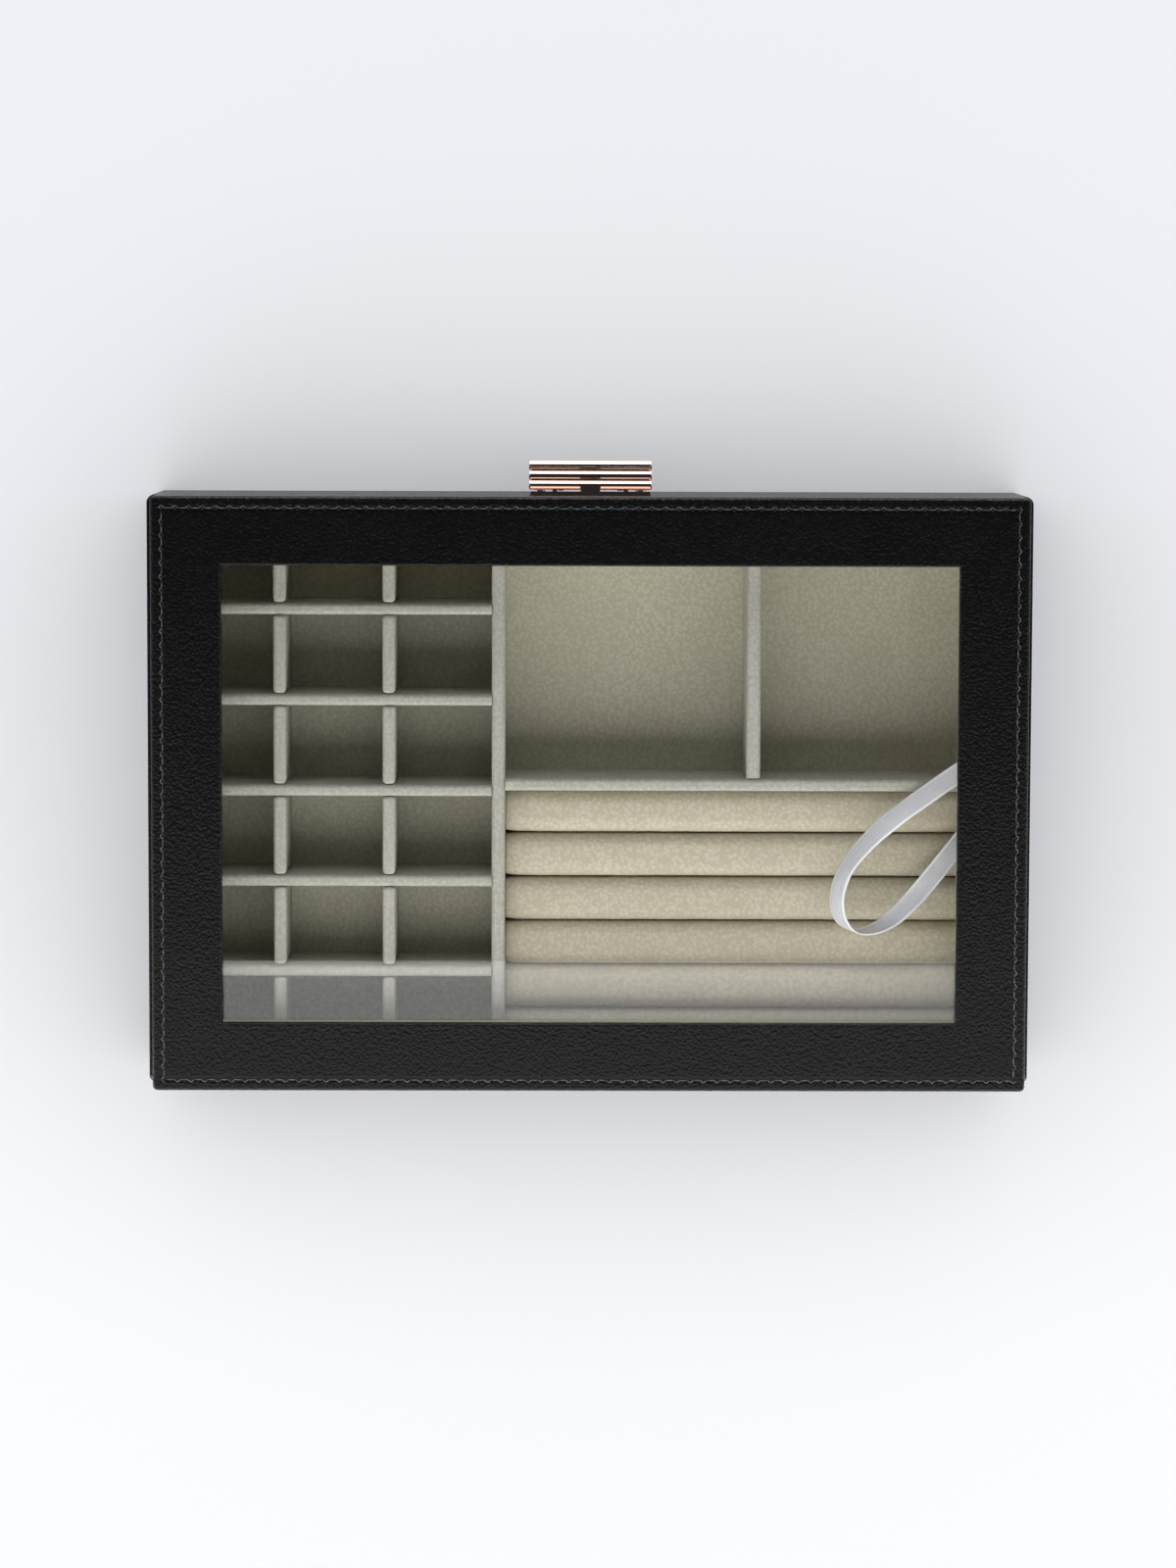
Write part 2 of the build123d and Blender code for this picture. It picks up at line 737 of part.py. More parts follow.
def main():
    os.makedirs("parts", exist_ok=True)
    parts = {}
    make_tray(parts)
    make_linings(parts)
    make_dividers(parts)
    make_ring_rolls(parts)
    make_lid(parts)
    make_hinges(parts)
    make_clasp(parts)
    make_ribbon(parts)
    for name, part in parts.items():
        export_step(part, f"parts/{name}.step")
    print(len(parts), "parts")


main()
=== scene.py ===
"""Jewelry gift box: finishes, stitching, ring rolls, ribbon and studio around the fixed frame.

Lengths are metres in the code and millimetres in the names that end in _mm.
X runs along the width, the clasp faces -Y, the hinges are at +Y and +Z is up.
"""

import math

import bmesh
import bpy
from mathutils import Matrix, Vector, noise


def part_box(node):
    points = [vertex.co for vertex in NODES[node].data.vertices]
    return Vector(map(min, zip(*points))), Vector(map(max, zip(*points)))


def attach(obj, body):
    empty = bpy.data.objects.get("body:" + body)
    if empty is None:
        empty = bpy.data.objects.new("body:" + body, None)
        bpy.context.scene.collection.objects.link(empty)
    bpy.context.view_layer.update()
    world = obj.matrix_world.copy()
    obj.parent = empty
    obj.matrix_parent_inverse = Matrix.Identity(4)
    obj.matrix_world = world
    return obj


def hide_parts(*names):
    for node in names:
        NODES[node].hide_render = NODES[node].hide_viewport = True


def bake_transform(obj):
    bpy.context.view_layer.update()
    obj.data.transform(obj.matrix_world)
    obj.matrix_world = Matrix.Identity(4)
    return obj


bl_info = {
    "name": "Jewelry Gift Box",
    "version": (1, 0, 0),
    "blender": (4, 5, 0),
    "location": "3D View > Sidebar > Gift Box",
    "description": "Finishes a leather jewelry box: stitching, ring rolls, satin stay and materials",
    "category": "Object",
}

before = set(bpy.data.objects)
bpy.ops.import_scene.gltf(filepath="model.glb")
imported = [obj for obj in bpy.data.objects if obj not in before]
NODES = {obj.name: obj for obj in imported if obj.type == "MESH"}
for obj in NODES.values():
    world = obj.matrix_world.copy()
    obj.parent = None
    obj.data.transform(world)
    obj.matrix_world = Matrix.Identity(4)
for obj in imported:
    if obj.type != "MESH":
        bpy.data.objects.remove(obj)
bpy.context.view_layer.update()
MM = 0.001
GLASS_FACING_GLOSS = 0.033  # share of the light that the pane mirrors, seen straight on
SPANS_ACROSS_RIBBON = 8
RIBBON_CURL = ((0.18, 210.0), (0.1, 517.0))  # (millimetres, radians per metre) of its two slow waves
# A wave texture's bands are 0.31 of its size apart, so this makes them 1.9 times as far apart as the
# real threads, and they show.
WAVE_SIZE = 6.0

LID_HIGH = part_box("lid_leather_wrap")[1]

# The stay's middle line from the tray to the lid: the places of the frame's own ribbon seen from
# above, with heights that climb off the ring rolls and come down to the patch on the lid.
RIBBON_ROUTE_MM = [
    (-122.0, 4.2, 32.0),
    (-120.2, 5.6, 32.1),
    (-116.0, 10.0, 32.8),
    (-110.2, 16.8, 34.0),
    (-103.4, 25.2, 35.6),
    (-97.0, 32.6, 37.6),
    (-91.2, 38.0, 39.8),
    (-85.2, 41.4, 41.2),
    (-79.2, 42.0, 41.8),
    (-74.9, 38.4, 42.0),
    (-73.6, 32.4, 42.0),
    (-74.9, 26.0, 41.8),
    (-78.6, 19.6, 41.3),
    (-84.8, 12.8, 40.6),
    (-91.6, 7.2, 39.9),
    (-100.6, 0.8, 39.0),
    (-109.9, -5.6, 38.2),
    (-118.6, -11.4, 38.3),
]

# How far the ribbon has rolled about its own line: (share of its length, degrees). It lies flat on
# the tray's side, stands on edge where it turns back, and comes out of the turn face down.
RIBBON_ROLL = [
    (0.0, 0), (0.24, 4), (0.33, 36), (0.38, 58), (0.435, 90), (0.465, 112), (0.5, 130),
    (0.6, 136), (0.67, 143), (0.74, 156), (0.85, 172), (1.0, 180),
]


# ---- small helpers -------------------------------------------------------------------------


def linear(code):
    """An sRGB hex value as a linear colour with alpha."""
    parts = [int(code[i : i + 2], 16) / 255 for i in (1, 3, 5)]
    return [c / 12.92 if c <= 0.04045 else ((c + 0.055) / 1.055) ** 2.4 for c in parts] + [1.0]


def add_node(tree, kind, settings=None, values=None, links=None):
    """Adds a node, with its settings, the values of its inputs, and what feeds them."""
    node = tree.nodes.new(kind)
    for key, value in (settings or {}).items():
        setattr(node, key, value)
    for key, value in (values or {}).items():
        node.inputs[key].default_value = value
    for key, source in (links or {}).items():
        tree.links.new(source, node.inputs[key])
    return node


def begin_material(name, **values):
    """A new material and its Principled shader, with uniform values set on the shader's sockets."""
    material = bpy.data.materials.new(name)
    material.use_nodes = True
    tree = material.node_tree
    shader = tree.nodes["Principled BSDF"]
    for key, value in values.items():
        shader.inputs[key.replace("_", " ")].default_value = value
    return material, tree, shader


def colour_ramp(tree, factor, stops):
    """A ramp through (place, hex colour) stops."""
    ramp = add_node(tree, "ShaderNodeValToRGB", links={"Fac": factor})
    elements = ramp.color_ramp.elements
    while len(elements) < len(stops):
        elements.new(0.5)
    for element, (place, code) in zip(elements, stops):
        element.position = place
        element.color = linear(code)
    return ramp.outputs["Color"]


def math_node(tree, operation, a, b=None):
    """One step of arithmetic; a and b are sockets or numbers."""
    node = add_node(tree, "ShaderNodeMath", {"operation": operation})
    for i, value in enumerate((a, b)):
        if isinstance(value, (int, float)):
            node.inputs[i].default_value = value
        elif value is not None:
            tree.links.new(value, node.inputs[i])
    return node.outputs[0]


def object_place(tree):
    return add_node(tree, "ShaderNodeTexCoord").outputs["Object"]


def texture(tree, kind, place, size_mm, settings=None, values=None):
    """A texture whose cells or waves are about size_mm across."""
    values = dict(values or {}, Scale=1.0 / (size_mm * MM))
    return add_node(tree, kind, settings, values, {"Vector": place})


def bump(tree, height, depth_mm, normal=None):
    links = {"Height": height}
    if normal is not None:
        links["Normal"] = normal
    node = add_node(tree, "ShaderNodeBump", values={"Distance": depth_mm * MM}, links=links)
    return node.outputs["Normal"]


def paint(material, *names):
    """Puts a finish on CAD nodes."""
    for name in names:
        for slot in NODES[name].material_slots:
            slot.material = material


def named(*starts):
    """The CAD nodes whose names start so."""
    return [n for n in sorted(NODES) if n.startswith(starts)]


def finish_piece(name, shape, *materials):
    """A bmesh as a smooth-shaded object at the origin."""
    mesh = bpy.data.meshes.new(name)
    shape.to_mesh(mesh)
    shape.free()
    for material in materials:
        mesh.materials.append(material)
    mesh.shade_smooth()
    piece = bpy.data.objects.new(name, mesh)
    bpy.context.scene.collection.objects.link(piece)
    return piece


# ---- finishes ------------------------------------------------------------------------------


def pebbled_leather(name, stops, grain_mm, depth_mm, roughness, specular=0.4, groove=False):
    """Coated leather, embossed by a roller: low domes with creases between them.

    The coating is satin, so it catches light on the domes, and the creases are painted a little darker, as
    painted shade.
    """
    material, tree, shader = begin_material(name, IOR=1.46, Specular_IOR_Level=specular)
    place = object_place(tree)
    warp = texture(tree, "ShaderNodeTexNoise", place, grain_mm * 3, values={"Detail": 2.0})
    bent = add_node(
        tree,
        "ShaderNodeVectorMath",
        {"operation": "MULTIPLY_ADD"},
        {1: (grain_mm * MM * 0.9,) * 3},
        {0: warp.outputs["Color"], 2: place},
    ).outputs[0]
    pebbles = texture(
        tree,
        "ShaderNodeTexVoronoi",
        bent,
        grain_mm,
        {"feature": "SMOOTH_F1"},
        {"Smoothness": 0.25, "Randomness": 1.0},
    ).outputs["Distance"]
    mottle = texture(tree, "ShaderNodeTexNoise", place, 14.0, values={"Detail": 4.0})
    # The colour mixes a random mottle with painted shade: the ramp darkens the creases between the domes.
    mottle_and_crease_shade = math_node(tree, "MULTIPLY", mottle.outputs["Fac"], 0.35)
    mottle_and_crease_shade = math_node(tree, "ADD", mottle_and_crease_shade, math_node(tree, "MULTIPLY", pebbles, 0.65))
    tree.links.new(colour_ramp(tree, mottle_and_crease_shade, stops), shader.inputs["Base Color"])
    low, high = roughness
    rough = add_node(
        tree,
        "ShaderNodeMapRange",
        values={"From Min": 0.1, "From Max": 0.7, "To Min": low, "To Max": high},
        links={"Value": pebbles},
    )
    tree.links.new(rough.outputs["Result"], shader.inputs["Roughness"])
    height = math_node(tree, "SUBTRACT", 1.0, pebbles)
    fine = texture(tree, "ShaderNodeTexNoise", place, grain_mm * 0.35, values={"Detail": 3.0})
    height = math_node(tree, "ADD", height, math_node(tree, "MULTIPLY", fine.outputs["Fac"], 0.35))
    normal = bump(tree, height, depth_mm)
    if groove:
        normal = stitch_groove(tree, place, normal)
    tree.links.new(normal, shader.inputs["Normal"])
    return material


def stitch_groove(tree, place, normal):
    """The shallow channel that the sewing pulls into the lid's leather."""
    settings = bpy.context.scene.gift_box_stitching
    half = stitch_rectangle(settings)
    axes = add_node(tree, "ShaderNodeSeparateXYZ", links={"Vector": place})
    away = [
        math_node(tree, "SUBTRACT", math_node(tree, "ABSOLUTE", axes.outputs[axis]), reach)
        for axis, reach in zip("XY", half)
    ]
    distance = math_node(tree, "ABSOLUTE", math_node(tree, "MAXIMUM", *away))
    channel = add_node(
        tree,
        "ShaderNodeMapRange",
        {"interpolation_type": "SMOOTHSTEP"},
        {"From Min": 0.1 * MM, "From Max": 1.3 * MM, "To Min": 0.0, "To Max": 1.0},
        {"Value": distance},
    )
    return bump(tree, channel.outputs["Result"], 0.12, normal)


def window_glass():
    """Clear float glass: almost colourless, with a mirror-like gloss that grows towards grazing angles."""
    material = bpy.data.materials.new("float_glass")
    material.use_nodes = True
    tree = material.node_tree
    tree.nodes.clear()
    facing = add_node(tree, "ShaderNodeLayerWeight", values={"Blend": 0.5}).outputs["Facing"]
    grazing = math_node(tree, "POWER", facing, 5.0)
    share = math_node(tree, "ADD", math_node(tree, "MULTIPLY", grazing, 0.9), GLASS_FACING_GLOSS)
    clear = add_node(tree, "ShaderNodeBsdfTransparent", values={"Color": linear("#fefefe")})
    gloss = add_node(tree, "ShaderNodeBsdfGlossy", values={"Roughness": 0.0})
    mix = add_node(
        tree,
        "ShaderNodeMixShader",
        links={0: share, 1: clear.outputs["BSDF"], 2: gloss.outputs["BSDF"]},
    )
    add_node(tree, "ShaderNodeOutputMaterial", links={"Surface": mix.outputs["Shader"]})
    return material


def plated_metal(name, colour, roughness, grit_mm, brushed):
    """Rose-gold plating over brass, polished to a mirror or brushed along X into fine hairlines."""
    material, tree, shader = begin_material(name, Metallic=1.0, Base_Color=linear(colour))
    place = object_place(tree)
    stretch = (0.04, 1.0, 1.0) if brushed else (0.4, 1.0, 1.0)
    lines = add_node(
        tree, "ShaderNodeMapping", values={"Scale": stretch}, links={"Vector": place}
    ).outputs["Vector"]
    hair = texture(tree, "ShaderNodeTexNoise", lines, grit_mm, values={"Detail": 3.0})
    low, high = roughness
    rough = add_node(
        tree,
        "ShaderNodeMapRange",
        values={"From Min": 0.3, "From Max": 0.7, "To Min": low, "To Max": high},
        links={"Value": hair.outputs["Fac"]},
    )
    tree.links.new(rough.outputs["Result"], shader.inputs["Roughness"])
    depth = 0.012 if brushed else 0.0003
    tree.links.new(bump(tree, hair.outputs["Fac"], depth), shader.inputs["Normal"])
    return material


def spring_wire():
    """Drawn steel wire, grey with a slight drawing grain."""
    material, tree, shader = begin_material(
        "drawn_spring_steel", Metallic=1.0, Base_Color=linear("#b9bbbd")
    )
    grain = texture(tree, "ShaderNodeTexNoise", object_place(tree), 0.15)
    rough = math_node(tree, "ADD", math_node(tree, "MULTIPLY", grain.outputs["Fac"], 0.2), 0.18)
    tree.links.new(rough, shader.inputs["Roughness"])
    return material


def fibre_board():
    """Pressed wood fibre: fawn, with short fibres and a dry matt face."""
    material, tree, shader = begin_material("fibre_board", Roughness=0.85)
    place = object_place(tree)
    fibres = texture(tree, "ShaderNodeTexNoise", place, 0.8, values={"Detail": 6.0})
    stops = [(0.3, "#8a6d4c"), (0.5, "#a8875f"), (0.7, "#bf9f77")]
    tree.links.new(colour_ramp(tree, fibres.outputs["Fac"], stops), shader.inputs["Base Color"])
    tree.links.new(bump(tree, fibres.outputs["Fac"], 0.05), shader.inputs["Normal"])
    return material


def woven_cover(name, stops, thread_mm, roughness):
    """Plain-woven cloth, drawn with threads coarser than the real ones so that they show."""
    material, tree, shader = begin_material(name, Roughness=roughness, Sheen_Weight=0.15)
    place = object_place(tree)
    waves = []
    for direction in ("X", "Y"):
        wave = texture(
            tree,
            "ShaderNodeTexWave",
            place,
            thread_mm * WAVE_SIZE,
            {"bands_direction": direction, "wave_profile": "SIN"},
            {"Distortion": 0.4, "Detail": 1.0},
        )
        waves.append(wave.outputs["Fac"])
    height = math_node(tree, "MULTIPLY", *waves)
    tree.links.new(colour_ramp(tree, height, stops), shader.inputs["Base Color"])
    tree.links.new(bump(tree, height, 0.08), shader.inputs["Normal"])
    return material


def satin_ribbon():
    """Woven polyester satin: long warp floats give a bright streaky sheen, real in the roughness and
    painted into the colour, fine weft ribs cross it, and a painted highlight whitens its edges.
    """
    material, tree, shader = begin_material(
        "white_satin", Sheen_Weight=0.25, Anisotropic=0.5, IOR=1.5
    )
    across = add_node(tree, "ShaderNodeUVMap", {"uv_map": "ribbon"}).outputs["UV"]
    weft = texture(
        tree,
        "ShaderNodeTexWave",
        across,
        0.45 * WAVE_SIZE,
        {"bands_direction": "X", "wave_profile": "SIN"},
        {"Distortion": 0.3},
    ).outputs["Fac"]
    streaks = add_node(
        tree, "ShaderNodeMapping", values={"Scale": (0.05, 1.0, 1.0)}, links={"Vector": across}
    ).outputs["Vector"]
    warp = texture(tree, "ShaderNodeTexNoise", streaks, 0.3, values={"Detail": 3.0}).outputs["Fac"]
    # The warp streaks vary the roughness and, as painted sheen, the colour.
    stops = [(0.25, "#c3c5ca"), (0.5, "#cfd0d5"), (0.75, "#d9dade")]
    # Painted highlight: the colour turns whiter from 2.35 mm off the middle line, and is fully white
    # beyond 2.6 mm, where the edge loops glint.
    edge = math_node(
        tree, "ABSOLUTE", add_node(tree, "ShaderNodeSeparateXYZ", links={"Vector": across}).outputs["Y"]
    )
    painted_edge_highlight = add_node(
        tree,
        "ShaderNodeMapRange",
        values={"From Min": 2.35 * MM, "From Max": 2.6 * MM, "To Min": 0.0, "To Max": 1.0},
        links={"Value": edge},
    )
    colour = add_node(
        tree,
        "ShaderNodeMix",
        {"data_type": "RGBA"},
        {7: linear("#f6f6f8")},
        {0: painted_edge_highlight.outputs["Result"], 6: colour_ramp(tree, warp, stops)},
    )
    tree.links.new(colour.outputs[2], shader.inputs["Base Color"])
    rough = math_node(tree, "ADD", math_node(tree, "MULTIPLY", warp, 0.25), 0.28)
    tree.links.new(rough, shader.inputs["Roughness"])
    height = math_node(tree, "ADD", weft, math_node(tree, "MULTIPLY", warp, 0.6))
    tree.links.new(bump(tree, height, 0.03), shader.inputs["Normal"])
    return material


def sewing_thread():
    """Waxed polyester thread: charcoal with a soft sheen, its twist drawn about 1.7 mm long to show."""
    material, tree, shader = begin_material("waxed_thread", Sheen_Weight=0.1)
    place = object_place(tree)
    twist = texture(
        tree,
        "ShaderNodeTexWave",
        place,
        0.9 * WAVE_SIZE,
        {"bands_direction": "DIAGONAL", "wave_profile": "SIN"},
        {"Distortion": 0.5},
    ).outputs["Fac"]
    stops = [(0.0, "#1b1b1c"), (1.0, "#47474a")]
    tree.links.new(colour_ramp(tree, twist, stops), shader.inputs["Base Color"])
    rough = math_node(tree, "ADD", math_node(tree, "MULTIPLY", twist, 0.15), 0.35)
    tree.links.new(rough, shader.inputs["Roughness"])
    tree.links.new(bump(tree, twist, 0.06), shader.inputs["Normal"])
    return material


def needle_hole_shade():
    """Painted shade for the pit that a needle leaves: matt, and blacker than the leather."""
    material, tree, shader = begin_material("needle_hole_shade", Roughness=0.95)
    grit = texture(tree, "ShaderNodeTexNoise", object_place(tree), 0.2)
    stops = [(0.3, "#020202"), (0.7, "#070707")]
    tree.links.new(colour_ramp(tree, grit.outputs["Fac"], stops), shader.inputs["Base Color"])
    return material


# ---- shapes --------------------------------------------------------------------------------


def stitch_rectangle(settings):
    """Half the width and half the depth of the stitch line, inset from the lid's edges."""
    return (LID_HIGH.x - settings.inset, LID_HIGH.y - settings.inset)


def stitch_places(settings):
    """(middle, direction) of each stitch, side by side along the four lines."""
    half_x, half_y = stitch_rectangle(settings)
    corners = [Vector((x, y, 0)) for x, y in ((-1, -1), (1, -1), (1, 1), (-1, 1))]
    corners = [Vector((c.x * half_x, c.y * half_y, LID_HIGH.z)) for c in corners]
    places = []
    for start, end in zip(corners, corners[1:] + corners[:1]):
        run = end - start
        count = round(run.length / settings.pitch)
        step = run / count
        places += [(start + step * (i + 0.5), step.normalized()) for i in range(count)]
    return places


def add_thread(shape, start, end, settings):
    """A short run of thread between two points, tapering where it sinks into the leather."""
    run = end - start
    turn = Matrix.Rotation(math.atan2(run.y, run.x), 4, "Z")
    thick = settings.thread / 2
    size = Matrix.Diagonal((run.length / 2 + thick * 0.6, thick, thick, 1.0))
    middle = (start + end) / 2 + Vector((0, 0, thick * 0.35))
    bmesh.ops.create_uvsphere(
        shape, u_segments=8, v_segments=6, radius=1.0, matrix=Matrix.Translation(middle) @ turn @ size
    )


def add_stitch(shape, middle, along, settings):
    """A straight run of thread, and the hump with which it goes round the outside of the next hole."""
    outward = Vector((along.y, -along.x, 0.0))
    half, hump = settings.pitch / 2, settings.hump / 2
    run_start, run_end = middle - along * (half - hump), middle + along * (half - hump)
    peak = middle + along * half + outward * settings.rise
    add_thread(shape, run_start, run_end, settings)
    add_thread(shape, run_end, peak, settings)
    add_thread(shape, peak, middle + along * (half + hump), settings)


def add_needle_hole(shape, middle, along, settings):
    """A thin near-black disc under the hump between two stitches, painted shade where the needle hole is.
    """
    before = set(shape.faces)
    inward = Vector((-along.y, along.x, 0.0))
    place = middle + along * settings.pitch / 2 + inward * settings.hole * 0.12
    bmesh.ops.create_cone(
        shape,
        cap_ends=True,
        segments=8,
        radius1=settings.hole / 2,
        radius2=settings.hole / 2.4,
        depth=0.12 * MM,
        matrix=Matrix.Translation(place - Vector((0, 0, 0.03 * MM))),
    )
    for face in set(shape.faces) - before:
        # The disc takes the second material, the painted shade of the hole.
        face.material_index = 1


def edge_run(edge):
    return edge.verts[0].co - edge.verts[1].co


def ring_roll_shape(low, high, settings, seed):
    """A foam bar in leather: a round crown, pulled-in ends, and fine wrinkles across it."""
    shape = bmesh.new()
    size = high - low
    middle = (high + low) / 2
    place = Matrix.Translation(middle) @ Matrix.Diagonal((*size, 1.0))
    bmesh.ops.create_cube(shape, size=1.0, matrix=place)
    tall = [
        e for e in shape.edges
        if all(v.co.z > middle.z for v in e.verts) and abs(edge_run(e).x) > size.x / 2
    ]
    bmesh.ops.bevel(
        shape, geom=tall, offset=size.y * settings.roundness / 2, segments=10,
        profile=0.5, affect="EDGES", material=-1,
    )
    upright = [
        e for e in shape.edges
        if abs(edge_run(e).z) > size.z * 0.4 and abs(edge_run(e).x) < 1e-6
    ]
    bmesh.ops.subdivide_edges(shape, edges=upright, cuts=4, use_grid_fill=True)
    lengthwise = [e for e in shape.edges if abs(edge_run(e).x) > size.x / 2]
    bmesh.ops.subdivide_edges(
        shape, edges=lengthwise, cuts=round(size.x / settings.step), use_grid_fill=True
    )
    for v in shape.verts:
        settle_roll_point(v, low, high, middle, settings, seed)
    bmesh.ops.recalc_face_normals(shape, faces=shape.faces)
    return shape


def settle_roll_point(v, low, high, middle, settings, seed):
    """Moves one point of a roll for its pulled-in ends, slow unevenness and wrinkles."""
    height = (v.co.z - low.z) / (high.z - low.z)
    end = min(v.co.x - low.x, high.x - v.co.x)
    pull = math.exp(-end / (2.2 * MM)) * height
    slow = noise.noise(Vector((v.co.x * 45, seed * 7.3, 0.0)))
    crease = noise.noise(Vector((v.co.x * 420, v.co.y * 90, seed * 3.1)))
    wave = noise.noise(Vector((v.co.x * 140, v.co.y * 60, seed * 5.7)))
    shrink = settings.wrinkle * height * (0.55 + 0.3 * slow + 0.5 * crease + 0.6 * wave)
    shrink = max(shrink, 0.0) + settings.end_pull * pull
    inward = Vector((0.0, v.co.y - middle.y, (v.co.z - middle.z) if height > 0.5 else 0.0))
    if inward.length > 0:
        v.co -= inward.normalized() * shrink


def ribbon_line():
    """The stay's middle line: a smooth spline with the route as its control points."""
    curve = bpy.data.curves.new("ribbon_route", "CURVE")
    curve.dimensions = "3D"
    spline = curve.splines.new("NURBS")
    spline.points.add(len(RIBBON_ROUTE_MM) - 1)
    for point, (x, y, z) in zip(spline.points, RIBBON_ROUTE_MM):
        point.co = (x * MM, y * MM, z * MM, 1.0)
    spline.order_u = 3
    spline.use_endpoint_u = True
    spline.resolution_u = 24
    route = bpy.data.objects.new("ribbon_route", curve)
    bpy.context.scene.collection.objects.link(route)
    bpy.context.view_layer.update()
    line = bpy.data.meshes.new_from_object(route)
    points = [v.co.copy() for v in line.vertices]
    bpy.data.objects.remove(route)
    bpy.data.curves.remove(curve)
    bpy.data.meshes.remove(line)
    return points


def evenly(points, step):
    """Places at equal steps along a line, with the distance along it of each."""
    lengths = [0.0]
    for a, b in zip(points, points[1:]):
        lengths.append(lengths[-1] + (b - a).length)
    count = round(lengths[-1] / step)
    places, k = [], 0
    for i in range(count + 1):
        want = lengths[-1] * i / count
        while k < len(points) - 2 and lengths[k + 1] < want:
            k += 1
        share = (want - lengths[k]) / (lengths[k + 1] - lengths[k])
        places.append((points[k].lerp(points[k + 1], share), want))
    return places, lengths[-1]


def ribbon_roll(share):
    for (a, low), (b, high) in zip(RIBBON_ROLL, RIBBON_ROLL[1:]):
        if share <= b:
            return math.radians(low + (high - low) * (share - a) / (b - a))
    return math.pi


def ribbon_shape(points, settings):
    """A flat woven band, extruded along its line, with small loops at both edges."""
    shape = bmesh.new()
    marks = {}
    places, total = evenly(points, settings.step)
    row = None
    for i, (place, along_m) in enumerate(places):
        before, after = places[max(i - 1, 0)][0], places[min(i + 1, len(places) - 1)][0]
        ahead = (after - before).normalized()
        left = Vector((-ahead.y, ahead.x, 0.0)).normalized()
        turn = ribbon_roll(along_m / total)
        side = left * math.cos(turn) + ahead.cross(left) * math.sin(turn)
        up = ahead.cross(side)
        picot = abs(math.sin(math.pi * along_m / settings.picot_pitch))
        half = settings.width / 2 - settings.picot * (1.0 - picot)
        curl = sum(depth * MM * math.sin(along_m * rate) for depth, rate in RIBBON_CURL)
        spots = []
        for k in range(SPANS_ACROSS_RIBBON + 1):
            reach = -1.0 + 2.0 * k / SPANS_ACROSS_RIBBON
            width = (settings.width / 2 - settings.picot) if abs(reach) < 0.99 else half
            dish = settings.dish * (reach * reach - 0.3)
            spots.append((place + side * reach * width + up * (dish + curl * reach), reach))
        if row is None:
            verts = [shape.verts.new(co) for co, _ in spots]
            row = [shape.edges.new(pair) for pair in zip(verts, verts[1:])]
        else:
            grown = bmesh.ops.extrude_edge_only(shape, edges=row)["geom"]
            made = [g for g in grown if isinstance(g, bmesh.types.BMVert)]
            old = sorted({v for e in row for v in e.verts}, key=lambda v: marks[v][1])
            verts = []
            for v in old:
                twin = next(m for m in made if (m.co - v.co).length < 1e-9)
                made.remove(twin)
                verts.append(twin)
            for v, (co, _) in zip(verts, spots):
                v.co = co
            row = [
                next(e for e in a.link_edges if e.other_vert(a) is b) for a, b in zip(verts, verts[1:])
            ]
        for v, (_, reach) in zip(verts, spots):
            marks[v] = (along_m, reach * settings.width / 2)
    layer = shape.loops.layers.uv.new("ribbon")
    for face in shape.faces:
        for loop in face.loops:
            loop[layer].uv = marks[loop.vert]
    bmesh.ops.recalc_face_normals(shape, faces=shape.faces)
    return shape, total


def studio_air():
    """Soft surroundings: bright near the horizon, and dark overhead, where the camera looks from."""
    world = bpy.data.worlds.new("studio_air")
    world.use_nodes = True
    tree = world.node_tree
    direction = add_node(tree, "ShaderNodeTexCoord").outputs["Generated"]
    axes = add_node(tree, "ShaderNodeSeparateXYZ", links={"Vector": direction})
    stops = [(0.0, "#f2f4f8"), (0.30, "#dfe3ea"), (0.62, "#4c4f55"), (0.9, "#2b2d30")]
    colour = colour_ramp(tree, axes.outputs["Z"], stops)
    tree.links.new(colour, tree.nodes["Background"].inputs["Color"])
    return world


def add_light(context, lamp, place, target, linked, link_state):
    """Aims a lamp, hides it from the camera, and says whether it lights only the linked things."""
    light = bpy.data.objects.new(lamp.name, lamp)
    aim = (Vector(target) - Vector(place)).to_track_quat("-Z", "Y").to_matrix().to_4x4()
    light.matrix_world = Matrix.Translation(place) @ aim
    light.visible_camera = False
    context.scene.collection.objects.link(light)
    lit = bpy.data.collections.new(lamp.name + "_lit")
    light.light_linking.receiver_collection = lit
    for thing in linked:
        lit.objects.link(thing)
    for entry in lit.collection_objects:
        entry.light_linking.link_state = link_state


def thicken(piece, thickness):
    """Gives a thin piece its thickness, as part of its mesh."""
    solid = piece.modifiers.new("thickness", "SOLIDIFY")
    solid.thickness = thickness
    solid.offset = 0.0
    bpy.context.view_layer.update()
    evaluated = piece.evaluated_get(bpy.context.evaluated_depsgraph_get())
    mesh = bpy.data.meshes.new_from_object(evaluated)
    piece.modifiers.clear()
    piece.data = mesh
    mesh.shade_smooth()


# ---- settings ------------------------------------------------------------------------------


def length_property(name, description, default_mm):
    return bpy.props.FloatProperty(
        name=name, description=description, default=default_mm * MM, min=0.0,
        unit="LENGTH", subtype="DISTANCE", precision=5,
    )


class GiftBoxStitching(bpy.types.PropertyGroup):
    """Sizes of the sewn line around the lid."""

    inset: length_property("Inset", "From the lid's edge to the stitch line", 3.5)
    pitch: length_property("Pitch", "From one stitch to the next", 4.0)
    thread: length_property("Thread", "Thickness of the thread", 0.4)
    hole: length_property("Needle hole", "Width of the pit between stitches", 1.15)
    hump: length_property("Hump", "Length of the thread's way round a hole", 1.9)
    rise: length_property("Rise", "How far the thread goes out round a hole", 0.75)


